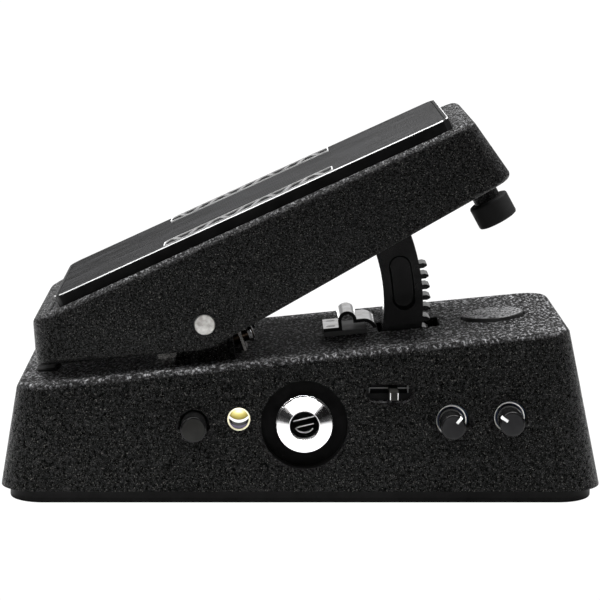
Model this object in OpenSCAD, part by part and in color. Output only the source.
// Mini rocker pedal for a guitar: a treadle on a cross axle swings a curved rack
// that turns a potentiometer inside a cast housing, with controls in one side.
// X runs from heel to toe, Y from the control side to the far side, Z up.
// All sizes are in millimetres and the floor is Z = 0.

/* [Housing] */
// length of the housing at its lower edge
body_l = 134; // [110:1:170]
// width of the housing at its lower edge
body_w = 66; // [54:1:84]
// height of the housing's top at the heel
heel_h = 25.6; // [21:0.1:32]
// height of the housing's top at the toe
toe_h = 38.2; // [31:0.1:46]
// plan radius of the housing's upright corners
corner_r = 8.5; // [5:0.5:12]
// rounding of the housing's top edge
edge_r = 1.6; // [0.8:0.1:2.4]
// lean of the long sides from upright, degrees
side_draft = 8; // [3:0.5:11]
// lean of the heel end from upright, degrees
heel_draft = 8.2; // [3:0.1:12]
// lean of the toe end from upright, degrees
toe_draft = 11; // [4:0.5:14]
// thickness of the cast walls
wall = 2.6; // [2:0.1:3.4]
// thickness of the cast top
top_wall = 2.8; // [2.2:0.1:3.6]

/* [Base] */
// thickness of the rubber base pad
pad_h = 3; // [2:0.1:5]
// how far the rubber pad is set in from the housing
pad_inset = 1.8; // [0.5:0.1:4]
// thickness of the steel base plate
plate_t = 1.5; // [1:0.1:2.5]

/* [Treadle] */
// axle's distance toward the heel from the middle
axle_back = 21.4; // [16:0.1:26]
// height of the axle above the housing's top
axle_lift = 9.35; // [8:0.05:13]
// radius of the axle
axle_r = 2.35; // [1.9:0.05:3]
// slope of the treadle's top at rest, degrees
tread_tilt = 24.7; // [18:0.1:28]
// height of the treadle's top above the axle, square to it
tread_h = 16.6; // [14:0.1:20]
// length of the treadle from the axle to its heel end
tread_back = 35.2; // [29:0.1:42]
// length of the treadle from the axle to its toe end
tread_front = 72.8; // [60:0.1:88]
// width of the treadle
tread_w = 53; // [44:0.5:64]
// thickness of the treadle's walls
tread_wall = 2.7; // [2:0.1:3.4]
// thickness of the rubber tread pad
tread_pad_t = 3.2; // [2:0.1:4]
// width of the rubber tread pad
tread_pad_w = 48; // [39:0.5:58]
// furthest turn toward the toe, degrees
toe_travel = 16.5; // [10:0.5:20]

/* [Rack and pinion] */
// size of the teeth, as a gear module
tooth_m = 0.8; // [0.64:0.02:1]
// reach of the curved rack's teeth from the axle, at their pitch line
rack_radius = 50.8; // [48.4:0.4:53.2]
// teeth on the pinion
pinion_teeth = 14; // [12:1:17]
// pressure angle of the teeth
tooth_pa = 25; // [20:1:25]
// how much thinner each tooth is than half the pitch
tooth_slack = 0.12; // [0.08:0.01:0.2]
// width of the rack and the pinion across the pedal
rack_w = 6; // [4.5:0.1:7.5]
// depth of the rack's solid band behind the teeth
rack_band = 9; // [6:0.5:11]

/* [Jacks] */
// radius of the bore that takes the plug
plug_r = 3.3; // [3.2:0.05:3.4]
// radius of the round recess around a jack
jack_recess_r = 9.65; // [8:0.05:11]
// height of the jacks above the floor
jack_z = 17.6; // [15:0.1:19]
// radius of the power inlet's bore
dc_r = 2.9; // [2.8:0.05:3.1]

/* [Controls] */
// radius of the boost button
boost_r = 2.85; // [2.4:0.05:3.4]
// travel of the boost button
boost_travel = 1.5; // [0.8:0.1:2]
// radius of the indicator's lens
led_r = 2.43; // [1.9:0.01:2.9]
// how far the boost button stands out of the side when up
boost_out = 5.4; // [4.4:0.1:6.4]
// radius of the two knobs
knob_r = 2.8; // [2.4:0.05:3.4]
// how far the knobs stand out of the side
knob_out = 6.6; // [5.2:0.1:7.8]
// length of the selector's slot
slot_l = 10.1; // [8.5:0.1:12]
// height of the selector's slot
slot_h = 3.85; // [3.2:0.05:4.6]
// radius of the footswitch's round pad
disc_r = 7.15; // [6:0.05:8.5]
// travel of the footswitch
disc_travel = 1.6; // [1:0.1:1.9]

/* [Fits] */
// radial clearance of a shaft that turns or slides in a hole
run_gap = 0.05; // [0.02:0.01:0.09]
// radial clearance of a fixed pin, screw or bush in its hole
seat_gap = 0.02; // [0.01:0.01:0.05]

/* [Hidden] */
// circles are drawn finely here and come out exactly round
$fn = 48;
// facets of the soft corners that are drawn as hulls
soft_fn = 36;
eps = 0.01;
axle_x = -axle_back;
heel_x = -body_l / 2 + (heel_h - pad_h) * tan(heel_draft);
toe_x = body_l / 2 - (toe_h - pad_h) * tan(toe_draft);
top_slope = (toe_h - heel_h) / (toe_x - heel_x);
top_deg = atan(top_slope);
axle_z = top_z(axle_x) + axle_lift;
floor_z = pad_h + plate_t;
tread_half = tread_w / 2;
jack_x = 0.7;
jack_face = side_y(jack_z) - 2.3;
jack_in = jack_face - 2.3;
jack_body = [16, 20, 15];
board_y = 18.6 - 33 + body_w / 2;
board_t = 1.5;
boost_x = -23.7;
boost_z = 17.7;
led_x = -13.8;
led_z = 18.9;
slot_x = 19.6;
slot_z = 24.5;
lever_off = 0.8;
knob_a = [33.2, 18.5];
knob_b = [46.1, 19.2];
fs_well = disc_travel + 1;
post_x = body_l / 2 - 9.5;
post_y = body_w / 2 - 9.2;
board_z = floor_z + 5.5;
main_x = [-body_l / 2 + 14.5, -12];
main_y = [-board_y + board_t + 2.9, 25 - 33 + body_w / 2];
dc_at = [post_y - 11.8, 16];
rack_teeth = round(2 * rack_radius / tooth_m);
rack_r = rack_teeth * tooth_m / 2;
pinion_r = pinion_teeth * tooth_m / 2;
tooth_step = 360 / rack_teeth;
pot_r = 8;
pot_lid = 1.3;
pot_room = 0.7558;
// the pot hangs under the housing's top, and that sets where the pinion meets the rack
pot_drop = (top_wall + pot_lid + pot_r + pot_room) / cos(top_deg);
mesh_deg = top_deg - asin((axle_lift + pot_drop) * cos(top_deg) / (rack_r + pinion_r));
mesh_tooth = round(28.35 / tooth_step);
first_tooth = mesh_deg + mesh_tooth * tooth_step;
last_tooth = mesh_tooth + 2;
pinion_x = axle_x + (rack_r + pinion_r) * cos(mesh_deg);
pinion_z = axle_z + (rack_r + pinion_r) * sin(mesh_deg);
// the footswitch stands clear of the pinion on its toe side
fs_x = pinion_x + pinion_r + tooth_m + 6.059;
spindle_r = 3;
pot_y = rack_w / 2 + 3.6;

// height of the housing's sloping top at x
function top_z(x) = heel_h + (x - heel_x) * top_slope;
// distance of the outer side face from the middle at height z
function side_y(z) = body_w / 2 - (z - pad_h) * tan(side_draft);
// angle in degrees that an involute has unwound at radius r
function unwound(rb, r) = r <= rb ? 0 : tan(acos(rb / r)) * 180 / PI - acos(rb / r);
// half the tooth's thickness as an angle at radius r
function half_tooth(n, r) = 90 / n - tooth_slack / (n * tooth_m / 2) * 90 / PI
    + unwound(n * tooth_m / 2 * cos(tooth_pa), n * tooth_m / 2)
    - unwound(n * tooth_m / 2 * cos(tooth_pa), r);
function on_circle(r, a) = [r * cos(a), r * sin(a)];
// one tooth, from its lower root round its tip to its upper root
function tooth_points(n, a) = let (rp = n * tooth_m / 2, r0 = rp - 1.25 * tooth_m,
    r1 = rp + tooth_m, rb = rp * cos(tooth_pa), rs = max(rb, r0), k = 5)
    concat([on_circle(r0, a - half_tooth(n, rs) - 0.02)],
        [for (i = [0:k]) on_circle(rs + (r1 - rs) * i / k,
            a - half_tooth(n, rs + (r1 - rs) * i / k))],
        [for (i = [k:-1:0]) on_circle(rs + (r1 - rs) * i / k,
            a + half_tooth(n, rs + (r1 - rs) * i / k))],
        [on_circle(r0, a + half_tooth(n, rs) + 0.02)]);

// a side view drawn in X and Z, given a width across Y
module across(w, y = 0) {
    translate([0, y, 0])
        rotate([90, 0, 0])
            linear_extrude(height = w, center = true)
                children();
}

// a round bar along Y from y0 to y1
module bar_y(r, y0, y1) {
    translate([0, y0, 0])
        rotate([-90, 0, 0])
            cylinder(r = r, h = y1 - y0);
}

// a round bar along X from x0 to x1
module bar_x(r, x0, x1) {
    translate([x0, 0, 0])
        rotate([0, 90, 0])
            cylinder(r = r, h = x1 - x0);
}

// the frame of the treadle: origin on the axle, X up the tread, Z square to it
module tread_frame() {
    translate([axle_x, 0, axle_z])
        rotate([0, -tread_tilt, 0])
            children();
}

// a frame on the housing's top at x, Z square to it
module top_frame(x) {
    translate([x, 0, top_z(x)])
        rotate([0, -top_deg, 0])
            children();
}

// both mirror images across the pedal
module both_sides() {
    children();
    mirror([0, 1, 0])
        children();
}

module rounded_plate(l, w, r, h) {
    linear_extrude(height = h)
        union() {
            square([l - 2 * r, w], center = true);
            square([l, w - 2 * r], center = true);
            for (sx = [-1, 1])
                for (sy = [-1, 1])
                    translate([sx * (l / 2 - r), sy * (w / 2 - r)])
                        circle(r = r);
        }
}

// a disc with a rounded rim, used only inside hulls
module soft_disc(r, e) {
    rotate_extrude($fn = soft_fn)
        translate([r - e, 0])
            circle(r = e, $fn = 20);
}

// a countersunk screw head up, tip at -l
module flat_screw(r, head_r, l) {
    union() {
        translate([0, 0, -l])
            cylinder(r = r, h = l);
        translate([0, 0, -(head_r - r)])
            cylinder(r1 = r, r2 = head_r, h = head_r - r);
    }
}

// a pan head screw: head above the origin, shank below it
module pan_screw(r, l) {
    difference() {
        union() {
            translate([0, 0, -l])
                cylinder(r = r, h = l + 0.2);
            cylinder(r = 2 * r, h = 1.3 * r);
        }
        translate([0, 0, 0.6 * r])
            cylinder(r = 0.9 * r, h = r, $fn = 6);
    }
}

/* base */

module post_spots() {
    for (sx = [-1, 1])
        for (sy = [-1, 1])
            translate([sx * post_x, sy * post_y, 0])
                children();
}

module base_pad() {
    color([0.06, 0.06, 0.06])
        difference() {
            rounded_plate(body_l - 2 * pad_inset, body_w - 2 * pad_inset, corner_r - 0.6, pad_h);
            post_spots()
                translate([0, 0, -1])
                    cylinder(r = 3.4, h = pad_h + 2);
        }
}

module base_plate() {
    color([0.55, 0.56, 0.58])
        difference() {
            translate([0, 0, pad_h])
                rounded_plate(body_l - 2 * wall - 0.8, body_w - 2 * wall - 0.8, corner_r - wall,
                    plate_t);
            post_spots()
                translate([0, 0, pad_h - 1])
                    cylinder(r = 1.25 + seat_gap, h = plate_t + 2);
            post_spots()
                translate([0, 0, pad_h - eps])
                    cylinder(r1 = 2.5 + seat_gap + eps, r2 = 1.25 + seat_gap, h = 1.25 + eps);
        }
}

module base_screws() {
    color([0.7, 0.7, 0.72])
        post_spots()
            translate([0, 0, pad_h])
                rotate([180, 0, 0])
                    flat_screw(1.25, 2.5, 9);
}

/* housing */

module housing_outer() {
    hull() {
        for (sx = [-1, 1])
            for (sy = [-1, 1])
                translate([sx * (body_l / 2 - corner_r), sy * (body_w / 2 - corner_r), pad_h])
                    cylinder(r = corner_r, h = 0.3, $fn = soft_fn);
        for (sy = [-1, 1]) {
            translate([heel_x, sy * side_y(heel_h), heel_h])
                rotate([0, -top_deg, 0])
                    translate([corner_r - 1.2, -sy * (corner_r - 1.2), -edge_r])
                        soft_disc(corner_r - 1.2, edge_r);
            translate([toe_x, sy * side_y(toe_h), toe_h])
                rotate([0, -top_deg, 0])
                    translate([-corner_r + 1.2, -sy * (corner_r - 1.2), -edge_r])
                        soft_disc(corner_r - 1.2, edge_r);
        }
    }
}

module housing_cavity() {
    r = corner_r - wall;
    xh = heel_x + wall + r + 0.3;
    xt = toe_x - wall - r - 0.3;
    zh = top_z(xh) - top_wall / cos(top_deg);
    zt = top_z(xt) - top_wall / cos(top_deg);
    hull() {
        for (sx = [-1, 1])
            for (sy = [-1, 1])
                translate([sx * (body_l / 2 - corner_r), sy * (body_w / 2 - corner_r), pad_h - 1])
                    cylinder(r = r, h = 1, $fn = soft_fn);
        for (sy = [-1, 1]) {
            translate([xh, sy * (side_y(zh) - wall - r - 0.3), zh])
                rotate([0, -top_deg, 0])
                    translate([0, 0, -0.4])
                        cylinder(r = r, h = 0.4, $fn = soft_fn);
            translate([xt, sy * (side_y(zt) - wall - r - 0.3), zt])
                rotate([0, -top_deg, 0])
                    translate([0, 0, -0.4])
                        cylinder(r = r, h = 0.4, $fn = soft_fn);
        }
    }
}

module main_board_spots() {
    for (x = [main_x[0] + 3.2, main_x[1] - 3.2])
        for (y = [main_y[0] + 3.2, main_y[1] - 3.2])
            translate([x, y, board_z + board_t])
                children();
}

module control_board_spots() {
    for (x = [-32, 24])
        translate([x, -board_y, floor_z + 7.5])
            children();
}

// the pair of cast ears that carry the axle's bushes
module axle_ears() {
    both_sides()
        across(5, 19)
            union() {
                translate([axle_x, axle_z])
                    circle(r = 5.4);
                polygon([[axle_x - 5.4, axle_z], [axle_x + 5.4, axle_z],
                    [axle_x + 7, top_z(axle_x + 7) - 1.2], [axle_x - 7, top_z(axle_x - 7) - 1.2]]);
            }
}

// a post for a base screw, tied to both walls of its corner
module corner_post(sx, sy) {
    x1 = body_l / 2 - wall - 0.6;
    y1 = body_w / 2 - wall - 0.6;
    translate([sx * post_x, sy * post_y, floor_z])
        cylinder(r = 3.7, h = 11);
    translate([sx > 0 ? post_x : -x1, sy * post_y - 1.2, floor_z])
        cube([x1 - post_x, 2.4, 8]);
    translate([sx * post_x - 1.2, sy > 0 ? post_y : -y1, floor_z])
        cube([2.4, y1 - post_y, 8]);
}

module housing_solids() {
    axle_ears();
    for (sx = [-1, 1])
        for (sy = [-1, 1])
            corner_post(sx, sy);
    for (x = [main_x[0] + 3.2, main_x[1] - 3.2])
        for (y = [main_y[0] + 3.2, main_y[1] - 3.2])
            translate([x, y, board_z + board_t])
                cylinder(r = 2.6, h = top_z(x) - top_wall - board_z - board_t + 0.6);
    control_board_spots()
        bar_y(2.6, -(side_y(floor_z + 7.5) - board_y - wall / 2), 0);
    both_sides()
        translate([jack_x, 0, jack_z])
            bar_y(jack_recess_r + 1.6, -jack_face - 0.6, -jack_in);
    translate([0, dc_at[0], dc_at[1]])
        bar_x(8.4, dc_x() - 2.3, dc_x() + 0.6);
    top_frame(fs_x)
        translate([0, 0, -fs_well - 2.2])
            cylinder(r = disc_r + 2.3, h = fs_well + 0.6);
}

// the plane that the power inlet's nut tightens on
function dc_x() = body_l / 2 - (16 - pad_h) * tan(toe_draft) - 2.1;

// a hole through the control side, with its outer edge broken square to the wall
module side_hole(x, z, r, c) {
    translate([x, 0, z])
        bar_y(r, -body_w, -board_y - 1);
    translate([x, -side_y(z), z])
        rotate([side_draft, 0, 0])
            translate([0, c, 0])
                rotate([90, 0, 0])
                    cylinder(r1 = r, r2 = r + 2 * c, h = 2 * c);
}

module slot_shape() {
    union() {
        square([slot_l - slot_h, slot_h], center = true);
        for (s = [-1, 1])
            translate([s * (slot_l - slot_h) / 2, 0])
                circle(r = slot_h / 2);
    }
}

module housing_cuts() {
    translate([axle_x, 0, axle_z])
        bar_y(3.6 + seat_gap, -30, 30);
    post_spots()
        translate([0, 0, floor_z - eps])
            cylinder(r = 1.25 + seat_gap, h = 9);
    main_board_spots()
        translate([0, 0, -eps])
            cylinder(r = 1 + seat_gap, h = 5);
    control_board_spots()
        bar_y(1 + seat_gap, -6, eps);
    both_sides() {
        translate([jack_x, 0, jack_z])
            bar_y(jack_recess_r, -body_w, -jack_face);
        translate([jack_x, 0, jack_z])
            bar_y(4.6 + seat_gap, -body_w, -jack_in + 1);
    }
    translate([0, dc_at[0], dc_at[1]]) {
        bar_x(7, dc_x(), body_l);
        bar_x(4 + seat_gap, dc_x() - 4, body_l);
    }
    side_hole(boost_x, boost_z, boost_r + 0.4, 0.25);
    side_hole(led_x, led_z, led_r + 0.07, 0.2);
    side_hole(knob_a[0] + 0.3, knob_a[1], knob_r + 0.8, 0.3);
    side_hole(knob_b[0] + 0.2, knob_b[1], knob_r + 0.8, 0.3);
    translate([slot_x, -body_w / 2, slot_z])
        rotate([90, 0, 0])
            linear_extrude(height = 16, center = true)
                slot_shape();
    translate([rack_slot()[0], -5.9, top_z(rack_slot()[0]) - 8])
        cube([rack_slot()[1] - rack_slot()[0], 11.8, 14]);
    top_frame(fs_x) {
        translate([0, 0, -fs_well])
            cylinder(r = disc_r + 0.35, h = fs_well + 4);
        translate([0, 0, -fs_well - 4])
            cylinder(r = 6 + seat_gap, h = 5);
    }
    clamp_screw_spots()
        translate([0, 0, -6])
            cylinder(r = 1.25 + seat_gap, h = 8);
    clamp_bolt_spots()
        bar_x(1.8, -6.4, 4);
    guide_screw_spots()
        translate([0, 0, -6])
            cylinder(r = 1 + seat_gap, h = 8);
    bracket_screw_spots()
        translate([0, 0, -1])
            cylinder(r = 1 + seat_gap, h = 3);
}

// the ends of the slot that the curved rack passes through
function rack_slot() = [axle_x + sqrt(pow(rack_r - 1.25 * tooth_m - rack_band, 2) - 42) - 0.9,
    axle_x + rack_r + tooth_m + 2.1];

module housing() {
    color([0.1, 0.1, 0.105])
        difference() {
            union() {
                difference() {
                    housing_outer();
                    housing_cavity();
                }
                housing_solids();
            }
            housing_cuts();
        }
}

// rubber strip that the treadle's heel lands on
module heel_stop() {
    color([0.05, 0.05, 0.05])
        top_frame(heel_x + 6)
            translate([-1.8, -14, 0])
                cube([4, 28, 0.7]);
}

module axle_bushes() {
    color([0.85, 0.84, 0.78])
        both_sides()
            translate([axle_x, 0, axle_z])
                difference() {
                    union() {
                        bar_y(3.6, 16.5, 22);
                        bar_y(4.7, 21.5, 22.5);
                    }
                    bar_y(axle_r + run_gap, 16, 23);
                }
}

/* tension clamp over the axle */

clamp_tilt = 20;
clamp_w = 25;
clamp_bolt_z = -8.2;
clamp_leg = 0.65;

module clamp_frame() {
    translate([axle_x, 0, axle_z])
        rotate([0, -clamp_tilt, 0])
            children();
}

module clamp_screw_spots() {
    for (sy = [-1, 1])
        top_frame(axle_x - 7.4)
            translate([0, sy * 7, 0])
                children();
}

module tension_clamp() {
    color([0.62, 0.63, 0.65])
        difference() {
            union() {
                clamp_frame()
                    across(clamp_w)
                        difference() {
                            union() {
                                circle(r = axle_r + 1.5);
                                polygon([[-3.7, 1], [3.7, 1], [5.6, -5.4], [7.3, -5.9],
                                    [7.2, -6.5], [5.9, -6.1], [5.9, -13],
                                    [5.9 - clamp_leg, -13], [5.9 - clamp_leg, -6],
                                    [2.6, -0.6], [-2.6, -0.6], [clamp_leg - 5.9, -6],
                                    [clamp_leg - 5.9, -13], [-5.9, -13], [-5.9, -6]]);
                            }
                            translate([-1, -5])
                                square([2, 5]);
                            circle(r = axle_r + run_gap);
                        }
                top_frame(axle_x - 7.4)
                    translate([-3.6, -clamp_w / 2, 0])
                        cube([10.4, clamp_w, 1.1]);
            }
            top_frame(axle_x)
                translate([-30, -30, -20])
                    cube([60, 60, 20]);
            clamp_bolt_spots()
                bar_x(1.5 + seat_gap, -9, 9);
            clamp_screw_spots()
                translate([0, 0, -1])
                    cylinder(r = 1.25 + seat_gap, h = 4);
        }
}

module clamp_bolt_spots() {
    clamp_frame()
        for (sy = [-1, 1])
            translate([0, sy * 8.5, clamp_bolt_z])
                children();
}

module tension_bolts() {
    color([0.72, 0.72, 0.74])
        clamp_bolt_spots()
            bar_x(1.5, -6.1, 8.4);
}

module tension_nuts() {
    color([0.78, 0.78, 0.8])
        clamp_bolt_spots()
            difference() {
                translate([7.2, 0, 0])
                    rotate([0, 90, 0])
                        cylinder(r = 2.05, h = 0.9, $fn = 6);
                bar_x(1.5 + seat_gap, 7, 9);
            }
}

// screws that hold the clamp's foot, driven from inside the housing
module clamp_screws() {
    color([0.7, 0.7, 0.72])
        clamp_screw_spots()
            translate([0, 0, -top_wall])
                rotate([180, 0, 0])
                    pan_screw(1.25, top_wall + 1.1);
}

/* rack guide */

guide_x = 5.6;
guide_w = 12;

module guide_screw_spots() {
    for (sy = [-1, 1])
        top_frame(guide_x + 1.75)
            translate([0, sy * 3.4, 0])
                children();
}

module guide_base() {
    color([0.08, 0.08, 0.08])
        difference() {
            top_frame(guide_x)
                translate([0, -guide_w / 2, 0])
                    cube([9.8, guide_w, 1.2]);
            guide_screw_spots()
                translate([0, 0, -1])
                    cylinder(r = 1 + seat_gap, h = 4);
        }
}

// the sprung metal strap: foot, hump and tail, seen from the side
module strap_profile() {
    union() {
        square([4.3, 0.8]);
        translate([3.5, 0])
            square([0.8, 2.3]);
        difference() {
            translate([5.65, 2.2])
                circle(r = 2.15);
            translate([5.65, 2.2])
                circle(r = 1.35);
            translate([3, -1])
                square([6, 3.2]);
        }
        translate([7, 1.5])
            square([0.8, 0.8]);
        translate([7, 1.5])
            square([2.3, 0.8]);
        difference() {
            translate([9.3, -0.7])
                circle(r = 3);
            translate([9.3, -0.7])
                circle(r = 2.2);
            translate([5, -5])
                square([4.3, 8]);
            translate([5, -5])
                square([9, 4.9]);
        }
    }
}

module guide_strap() {
    color([0.82, 0.82, 0.84])
        difference() {
            top_frame(guide_x)
                translate([0, 0, 1.2])
                    across(guide_w)
                        strap_profile();
            guide_screw_spots()
                translate([0, 0, 0])
                    cylinder(r = 1 + seat_gap, h = 4);
        }
}

module guide_screws() {
    color([0.7, 0.7, 0.72])
        guide_screw_spots()
            translate([0, 0, -top_wall])
                rotate([180, 0, 0])
                    pan_screw(1, top_wall + 2);
}

/* jacks */

module plug_jack() {
    translate([jack_x, 0, jack_z])
        difference() {
            union() {
                translate([-jack_body[0] / 2, -jack_in, -jack_body[2] / 2])
                    cube(jack_body);
                bar_y(4.6, -jack_face - 2.4, -jack_in + eps);
            }
            bar_y(plug_r, -body_w, -jack_in + 16);
        }
}

module output_jack() {
    color([0.15, 0.15, 0.16])
        plug_jack();
}

module input_jack() {
    color([0.15, 0.15, 0.16])
        mirror([0, 1, 0])
            plug_jack();
}

module jack_washers() {
    color([0.7, 0.7, 0.72])
        both_sides()
            translate([jack_x, 0, jack_z])
                difference() {
                    bar_y(6.3, -jack_face - 0.5, -jack_face);
                    bar_y(4.6 + seat_gap, -jack_face - 1, -jack_face + 1);
                }
}

module jack_nuts() {
    color([0.85, 0.85, 0.87])
        both_sides()
            translate([jack_x, 0, jack_z])
                difference() {
                    intersection() {
                        translate([0, -jack_face - 0.5, 0])
                            rotate([90, 40, 0])
                                cylinder(r = 6.35, h = 2.1, $fn = 6);
                        translate([0, -jack_face - 0.5, 0])
                            rotate([90, 0, 0])
                                cylinder(r1 = 9.2, r2 = 3.6 + 2, h = 2.1);
                    }
                    bar_y(4.6 + seat_gap, -jack_face - 4, -jack_face + 1);
                }
}

module dc_jack() {
    color([0.12, 0.12, 0.12])
        translate([0, dc_at[0], dc_at[1]])
            difference() {
                union() {
                    translate([dc_x() - 2.3 - 12, -4.6, -5.2])
                        cube([12, 9.2, 10.4]);
                    bar_x(4, dc_x() - 2.4, dc_x() + 2);
                }
                difference() {
                    bar_x(dc_r, dc_x() - 8, dc_x() + 3);
                    bar_x(1, dc_x() - 9, dc_x() + 1);
                }
            }
}

module dc_jack_nut() {
    color([0.75, 0.75, 0.77])
        translate([0, dc_at[0], dc_at[1]])
            difference() {
                translate([dc_x(), 0, 0])
                    rotate([0, 90, 0])
                        cylinder(r = 5.8, h = 1.7, $fn = 6);
                bar_x(4 + seat_gap, dc_x() - 1, dc_x() + 3);
            }
}

/* boards and their parts */

module control_board() {
    x0 = -36;
    x1 = 53;
    z0 = floor_z + 3;
    lid = top_wall + 1.4;
    color([0.08, 0.3, 0.14])
        difference() {
            across(board_t, -board_y + board_t / 2)
                difference() {
                    polygon([[x0, z0], [x1, z0], [x1, top_z(x1) - lid], [x0, top_z(x0) - lid]]);
                    translate([jack_x - jack_body[0] / 2 - 0.4, 0])
                        square([jack_body[0] + 0.8, jack_z + jack_body[2] / 2 + 0.4]);
                }
            control_board_spots()
                bar_y(1 + seat_gap, -1, 3);
            for (s = [-1, 1])
                translate([led_x + s * 1.27, 0, led_z])
                    bar_y(0.3 + seat_gap, -board_y - 1, -board_y + board_t + 1);
        }
}

module control_board_screws() {
    color([0.7, 0.7, 0.72])
        control_board_spots()
            translate([0, board_t, 0])
                rotate([-90, 0, 0])
                    pan_screw(1, 5.5);
}

module main_board() {
    color([0.08, 0.3, 0.14])
        difference() {
            translate([main_x[0], main_y[0], board_z])
                cube([main_x[1] - main_x[0], main_y[1] - main_y[0], board_t]);
            main_board_spots()
                translate([0, 0, -3])
                    cylinder(r = 1 + seat_gap, h = 4);
        }
}

module main_board_screws() {
    color([0.7, 0.7, 0.72])
        main_board_spots()
            translate([0, 0, -board_t])
                rotate([180, 0, 0])
                    pan_screw(1, 5.5);
}

// a place across the main board, as drawn on a board 39.2 wide from y -14.2
function on_y(v) = main_y[0] + (v + 14.2) * (main_y[1] - main_y[0]) / 39.2;

module on_board(x, y) {
    translate([x, y, board_z + board_t])
        children();
}

module inductor() {
    color([0.62, 0.12, 0.1])
        on_board(-37, on_y(5))
            difference() {
                cylinder(r = 6.6, h = 7.5);
                translate([0, 0, 6.9])
                    cylinder(r = 3, h = 1);
            }
}

module electrolytic_caps() {
    color([0.1, 0.12, 0.3])
        for (p = [[-47, 12, 2.5], [-47, 4, 2.5], [-22, 16, 3.1]])
            on_board(p[0], on_y(p[1]))
                cylinder(r = p[2], h = 6.5);
}

module film_caps() {
    color([0.2, 0.45, 0.25])
        for (p = [[-47, -4], [-38, -7], [-27, 10], [-37, 17]])
            on_board(p[0], on_y(p[1]))
                translate([-3.6, -1.3, 0])
                    cube([7.2, 2.6, 5.5]);
}

module amp_chips() {
    color([0.07, 0.07, 0.07])
        for (x = [-27, -18])
            on_board(x, on_y(6.5) - 4.5)
                translate([-2.5, -4.5, 0])
                    union() {
                        translate([0, 0, 0.5])
                            cube([5, 9, 3]);
                        translate([0.6, 1, 0])
                            cube([3.8, 7, 0.6]);
                    }
}

module ribbon_cable() {
    y0 = -board_y + board_t;
    z0 = board_z + board_t;
    color([0.6, 0.6, 0.62])
        translate([-28.5, 0, 0])
            rotate([90, 0, 90])
                linear_extrude(height = 9)
                    polygon([[y0, z0], [on_y(-7.1), z0], [on_y(-7.1), z0 + 0.6], [y0 + 0.6, z0 + 0.6],
                        [y0 + 0.6, z0 + 6], [y0, z0 + 6]]);
}

/* rack and pinion drive */

module wah_pot() {
    color([0.5, 0.51, 0.53])
        translate([pinion_x, 0, pinion_z])
            difference() {
                union() {
                    bar_y(pot_r, pot_y, pot_y + 8);
                    bar_y(3.6, pot_y - 3, pot_y + eps);
                }
                bar_y(spindle_r + run_gap, pot_y - 4, pot_y + 6);
            }
}

module wah_pot_nut() {
    color([0.75, 0.75, 0.77])
        translate([pinion_x, 0, pinion_z])
            difference() {
                translate([0, pot_y - 2.8, 0])
                    rotate([-90, 0, 0])
                        cylinder(r = 5.2, h = 1.4, $fn = 6);
                bar_y(3.6 + seat_gap, pot_y - 4, pot_y);
            }
}

module bracket_screw_spots() {
    for (dx = [-6.2, 4.8])
        top_frame(pinion_x + dx)
            translate([0, pot_y + 5, -top_wall])
                children();
}

module wah_pot_bracket() {
    color([0.6, 0.61, 0.63])
        difference() {
            union() {
                intersection() {
                    translate([pinion_x - 9, pot_y - 1.4, pinion_z - 9])
                        cube([16, 1.4, 40]);
                    top_frame(pinion_x)
                        translate([-20, -20, -top_wall - 60])
                            cube([40, 60, 60]);
                }
                top_frame(pinion_x)
                    translate([-9, pot_y - 1.4, -top_wall - pot_lid])
                        cube([16, 9.4, pot_lid]);
            }
            translate([pinion_x, 0, pinion_z])
                bar_y(3.6 + seat_gap, pot_y - 3, pot_y + 1);
            bracket_screw_spots()
                translate([0, 0, -3])
                    cylinder(r = 1 + seat_gap, h = 4);
            top_frame(fs_x)
                translate([0, 0, -fs_well - 30])
                    cylinder(r = disc_r + 2.6, h = fs_well + 31);
        }
}

module bracket_screws() {
    color([0.7, 0.7, 0.72])
        bracket_screw_spots()
            translate([0, 0, -1.3])
                rotate([180, 0, 0])
                    pan_screw(1, 3.1);
}

module pot_spindle() {
    color([0.78, 0.78, 0.8])
        translate([pinion_x, 0, pinion_z])
            bar_y(spindle_r, -rack_w / 2 - 0.8, pot_y + 5);
}

module pinion() {
    color([0.85, 0.85, 0.8])
        translate([pinion_x, 0, pinion_z])
            across(rack_w)
                difference() {
                    union() {
                        circle(r = pinion_r - 1.25 * tooth_m + 0.05);
                        for (i = [0:pinion_teeth - 1])
                            polygon(concat([[0, 0]], tooth_points(pinion_teeth,
                                180 + mesh_deg + (i + 0.5) * 360 / pinion_teeth)));
                    }
                    circle(r = spindle_r + seat_gap);
                }
}

rack_in_r = rack_r - 1.25 * tooth_m - rack_band;
rack_low = first_tooth - last_tooth * tooth_step - 1.5;
rack_high = 26;

// the curved rack and its post, seen from the side with the axle at the origin
module rack_profile() {
    r0 = rack_r - 1.25 * tooth_m;
    union() {
        intersection() {
            difference() {
                circle(r = r0 + 0.05);
                circle(r = rack_in_r);
            }
            polygon([[0, 0], on_circle(90, rack_low), on_circle(90, rack_high)]);
        }
        for (i = [0:last_tooth])
            polygon(concat([on_circle(r0 - 1, first_tooth - i * tooth_step)],
                rack_tooth(first_tooth - i * tooth_step)));
    }
}

// a rack tooth, straight sided below the pitch line for room at the root
function rack_tooth(a) = let (r0 = rack_r - 1.25 * tooth_m, k = 5,
    h0 = half_tooth(rack_teeth, rack_r))
    concat([on_circle(r0, a - h0)],
        [for (i = [0:k]) on_circle(rack_r + tooth_m * i / k,
            a - half_tooth(rack_teeth, rack_r + tooth_m * i / k))],
        [for (i = [k:-1:0]) on_circle(rack_r + tooth_m * i / k,
            a + half_tooth(rack_teeth, rack_r + tooth_m * i / k))],
        [on_circle(r0, a + h0)]);

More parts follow.
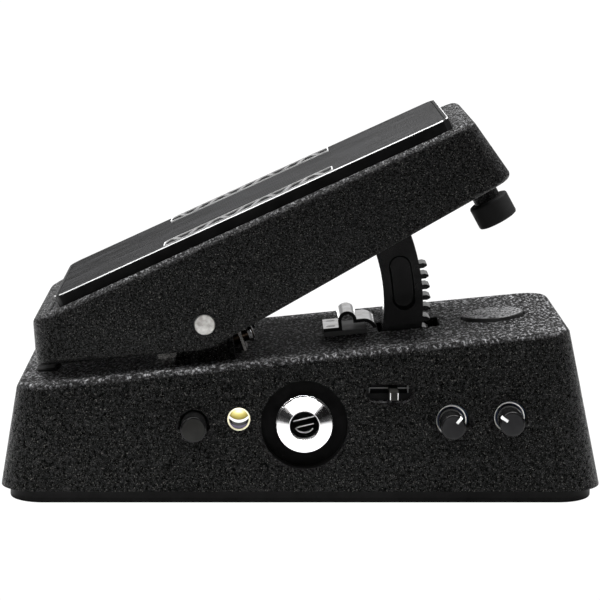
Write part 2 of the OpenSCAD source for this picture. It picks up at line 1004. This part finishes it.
// the long round-ended hollow in the rack's side, inset all round by d
module rack_hollow(d) {
    ra = rack_in_r + 2 + d;
    rb = rack_r - 1.25 * tooth_m - 1.7 - d;
    ends = [2.4 + d * 1.2, 11.9];
    union() {
        intersection() {
            difference() {
                circle(r = rb);
                circle(r = ra);
            }
            polygon([[0, 0], on_circle(90, ends[0]), on_circle(90, ends[1])]);
        }
        for (a = ends)
            translate(on_circle((ra + rb) / 2, a))
                circle(r = (rb - ra) / 2);
    }
}

rack_foot = [(rack_in_r + 4.4) * cos(rack_high - tread_tilt - 1.5), tread_h - 3.4];

module gear_rack() {
    tz = (rack_in_r + 4.4) * sin(rack_high - tread_tilt - 1.5);
    color([0.07, 0.07, 0.07])
        difference() {
            union() {
                translate([axle_x, 0, axle_z])
                    across(rack_w)
                        rack_profile();
                tread_frame()
                    translate([rack_foot[0] - 4.3, -rack_w / 2, tz - 0.6])
                        cube([8.8, rack_w, rack_foot[1] - tz + 0.6]);
                tread_frame()
                    translate([rack_foot[0] - 9, -rack_w / 2, rack_foot[1] - 3])
                        cube([18, rack_w, 3]);
            }
            both_sides()
                translate([axle_x, 0, axle_z])
                    union() {
                        across(0.7, rack_w / 2)
                            rack_hollow(0);
                        across(1.6, rack_w / 2)
                            rack_hollow(0.45);
                    }
            rack_screw_spots()
                translate([0, 0, -5])
                    cylinder(r = 1 + seat_gap, h = 9);
        }
}

module rack_screw_spots() {
    tread_frame()
        for (s = [-1, 1])
            translate([rack_foot[0] + s * 6.6, 0, rack_foot[1]])
                children();
}

module rack_screws() {
    color([0.7, 0.7, 0.72])
        rack_screw_spots()
            translate([0, 0, 3.4 - 0.9 - seat_gap])
                flat_screw(1, 1.9, 5.2);
}

/* treadle */

pocket = 0.6;
tread_slope = 5;
toe_low = 1.5;
pad_x0 = -tread_back + 7;
pad_x1 = tread_front - 5;

module treadle_outer() {
    heel_r = 5.5;
    toe_r = 4.5;
    yh = tread_half - heel_r;
    yt = tread_half - toe_r;
    hull() {
        for (sy = [-1, 1]) {
            translate([-tread_back + heel_r, sy * yh, tread_h - 1.7])
                soft_disc(heel_r, 1.7);
            translate([tread_front - toe_r, sy * yt, tread_h - 1.7])
                soft_disc(toe_r, 1.7);
            translate([-tread_back - 3.1 + heel_r, sy * yh, 7.2])
                soft_disc(heel_r - 0.1, 1);
            translate([tread_front + 2.4 - toe_r, sy * yt, 2.3])
                rotate([0, -5, 0])
                    soft_disc(toe_r, 1.3);
            for (p = [[-3, -3.9], [-0.6, -4.4], [3.4, -4]])
                translate([p[0], sy * (tread_half - 1), p[1]])
                    rotate([90, 0, 0])
                        cylinder(r = 0.9, h = 1.9, center = true, $fn = 16);
        }
    }
}

module treadle_cavity() {
    across(tread_w - 2 * tread_wall)
        polygon([[-tread_back + tread_wall, tread_h - 3.4],
            [tread_front - tread_wall, tread_h - 3.4],
            [tread_front - tread_wall + 1.9, 2], [tread_front - tread_wall + 2.6, -12],
            [-tread_back - 8 + tread_wall, -12], [-tread_back - 2.6 + tread_wall, 6]]);
}

module bumper_frame() {
    tread_frame()
        translate([69 - 72.8 + tread_front, 0, -4.6])
            rotate([0, -4.2, 0])
                children();
}

module treadle() {
    color([0.12, 0.12, 0.125])
        difference() {
            union() {
                tread_frame()
                    difference() {
                        treadle_outer();
                        treadle_cavity();
                    }
                tread_frame()
                    across(2.4)
                        polygon([[-tread_back + tread_wall - 1, tread_h - 2.4],
                            [rack_foot[0] - 9.6, tread_h - 2.4], [rack_foot[0] - 14, 7.6],
                            [8, 7.6], [-8, 7.6], [-tread_back + tread_wall - 1, tread_h - 5]]);
                bumper_frame()
                    cylinder(r = 3.1, h = tread_h + 4.6 - 2.2);
            }
            tread_frame()
                translate([(pad_x0 + pad_x1) / 2 - 0.9, 0, tread_h - pocket])
                    rounded_plate(pad_x1 - pad_x0 + 2.6, tread_pad_w + 0.7, 3.6, pocket + 2);
            translate([axle_x, 0, axle_z])
                bar_y(axle_r + seat_gap, -40, 40);
            rack_screw_spots()
                translate([0, 0, -1])
                    cylinder(r = 1 + seat_gap, h = 8);
            rack_screw_spots()
                translate([0, 0, 3.4 - 0.9 - 0.9 - seat_gap])
                    cylinder(r1 = 1 + seat_gap, r2 = 1.9 + seat_gap, h = 0.9);
            rack_screw_spots()
                translate([0, 0, 3.4 - 0.9 - seat_gap - eps])
                    cylinder(r = 1.9 + seat_gap, h = 3);
            bumper_frame()
                translate([0, 0, -1])
                    cylinder(r = 1.25 + seat_gap, h = 13);
        }
}

module tread_pad() {
    color([0.09, 0.09, 0.09])
        tread_frame()
            translate([(pad_x0 + pad_x1) / 2, 0, tread_h - pocket])
                rounded_plate(pad_x1 - pad_x0, tread_pad_w, 3, tread_pad_t);
}

module axle() {
    color([0.7, 0.7, 0.7])
        translate([axle_x, 0, axle_z])
            difference() {
                bar_y(axle_r, -tread_half + 0.1, tread_half - 0.1);
                both_sides()
                    difference() {
                        bar_y(axle_r + 1, tread_half - tread_wall - 0.9, tread_half - tread_wall - 0.1);
                        bar_y(axle_r - 0.5, tread_half - tread_wall - 1, tread_half - tread_wall);
                    }
            }
}

// spring clips in the axle's grooves, just inside the treadle's flanges
module axle_clips() {
    y0 = tread_half - tread_wall - 0.85;
    color([0.6, 0.6, 0.62])
        both_sides()
            translate([axle_x, 0, axle_z])
                difference() {
                    bar_y(axle_r + 1.3, y0, y0 + 0.7);
                    bar_y(axle_r - 0.5 + seat_gap, y0 - 1, y0 + 2);
                    translate([-1.2, y0 - 1, -8])
                        cube([2.4, 3, 8]);
                }
}

module toe_bumper() {
    color([0.05, 0.05, 0.05])
        bumper_frame()
            difference() {
                translate([0, 0, -5.5])
                    cylinder(r = 4.72, h = 5.5);
                translate([0, 0, -6])
                    cylinder(r = 1.25 + seat_gap, h = 8);
                translate([0, 0, -6])
                    cylinder(r = 2.5 + seat_gap, h = 3.5);
            }
}

module bumper_screw() {
    color([0.7, 0.7, 0.72])
        bumper_frame()
            translate([0, 0, -2.5])
                rotate([180, 0, 0])
                    pan_screw(1.25, 13);
}

/* footswitch */

module footswitch_body() {
    color([0.2, 0.2, 0.22])
        top_frame(fs_x)
            difference() {
                union() {
                    translate([0, 0, -fs_well - 5.4])
                        cylinder(r = 6, h = 5.4);
                    translate([-6, -6, -fs_well - 19])
                        cube([12, 12, 13.6 + eps]);
                }
                translate([0, 0, -fs_well - 13.6])
                    cylinder(r = 4 + run_gap, h = 20);
            }
}

module footswitch_nut() {
    color([0.75, 0.75, 0.77])
        top_frame(fs_x)
            difference() {
                translate([0, 0, -fs_well - 4.2])
                    cylinder(r = 8.6, h = 2, $fn = 6);
                translate([0, 0, -fs_well - 5])
                    cylinder(r = 6 + seat_gap, h = 5);
            }
}

module footswitch_plunger() {
    color([0.8, 0.8, 0.82])
        top_frame(fs_x)
            translate([0, 0, -fs_well - 11.4])
                cylinder(r = 4, h = fs_well + 11.4 - 0.75);
}

module footswitch_disc() {
    color([0.35, 0.35, 0.36])
        top_frame(fs_x)
            translate([0, 0, -0.75])
                cylinder(r = disc_r, h = 1.6);
}

/* side controls */

module boost_switch() {
    color([0.2, 0.2, 0.21])
        translate([boost_x, 0, boost_z])
            difference() {
                translate([-3.1, -board_y - 4, -3.1])
                    cube([6.2, 4, 6.2]);
                bar_y(1.5 + run_gap, -board_y - 5, -board_y - 0.8);
            }
}

module boost_button() {
    y0 = -side_y(boost_z);
    color([0.12, 0.12, 0.12])
        translate([boost_x, 0, boost_z])
            union() {
                bar_y(boost_r, y0 - boost_out, y0 + 3.6);
                bar_y(1.5, y0 + 3.5, -board_y - 1 - boost_travel);
            }
}

module status_led() {
    y0 = -side_y(led_z);
    color([0.9, 0.9, 0.85])
        translate([led_x, 0, led_z])
            union() {
                bar_y(led_r, y0 + 1, y0 + 7);
                translate([0, y0 + 1, 0])
                    sphere(r = led_r);
                bar_y(led_r + 0.4, y0 + 6, y0 + 7);
                for (s = [-1, 1])
                    translate([s * 1.27, 0, 0])
                        bar_y(0.3, y0 + 6.5, -board_y + board_t + 0);
            }
}

module range_switch() {
    color([0.55, 0.56, 0.58])
        translate([slot_x, -board_y - 5.2, slot_z])
            difference() {
                translate([-6.4, 0, -2.9])
                    cube([12.8, 5.2, 5.8]);
                translate([-4.1, -1, -1.15])
                    cube([8.2, 4.2, 2.3]);
            }
}

module range_lever() {
    y0 = -side_y(slot_z);
    color([0.1, 0.1, 0.1])
        translate([slot_x + lever_off, y0 - 2.9, slot_z])
            translate([-1, 0, -1.03])
                cube([2, -board_y - 2.4 - y0 + 2.9, 2.06]);
}

module knob_pots() {
    color([0.25, 0.3, 0.45])
        for (p = [knob_a, knob_b])
            translate([p[0], 0, p[1]])
                difference() {
                    translate([-4.8, -board_y - 6, -5.5])
                        cube([9.6, 6, 11]);
                    bar_y(1.95 + run_gap, -board_y - 7, -board_y - 1);
                }
}

module knob(p, turn) {
    y0 = -side_y(p[1]);
    translate([p[0], 0, p[1]])
        rotate([0, turn, 0])
            difference() {
                union() {
                    bar_y(knob_r, y0 - knob_out, y0 + 3);
                    bar_y(1.95, y0 + 2.9, -board_y - 1.5);
                }
                translate([-0.45, y0 - knob_out - 0.6, 1])
                    cube([0.9, 0.85, 4]);
            }
}

module volume_knob() {
    color([0.12, 0.12, 0.12])
        knob(knob_a, 39);
}

module tone_knob() {
    color([0.12, 0.12, 0.12])
        knob(knob_b, -57);
}

base_pad();
base_plate();
base_screws();
housing();
heel_stop();
axle_bushes();
tension_clamp();
tension_bolts();
tension_nuts();
clamp_screws();
guide_base();
guide_strap();
guide_screws();
output_jack();
input_jack();
jack_washers();
jack_nuts();
dc_jack();
dc_jack_nut();
control_board();
control_board_screws();
main_board();
main_board_screws();
inductor();
electrolytic_caps();
film_caps();
amp_chips();
ribbon_cable();
wah_pot();
wah_pot_nut();
wah_pot_bracket();
bracket_screws();
footswitch_body();
footswitch_nut();
boost_switch();
status_led();
range_switch();
knob_pots();
treadle();
tread_pad();
axle();
axle_clips();
gear_rack();
rack_screws();
toe_bumper();
bumper_screw();
pot_spindle();
pinion();
footswitch_plunger();
footswitch_disc();
boost_button();
range_lever();
volume_knob();
tone_knob();
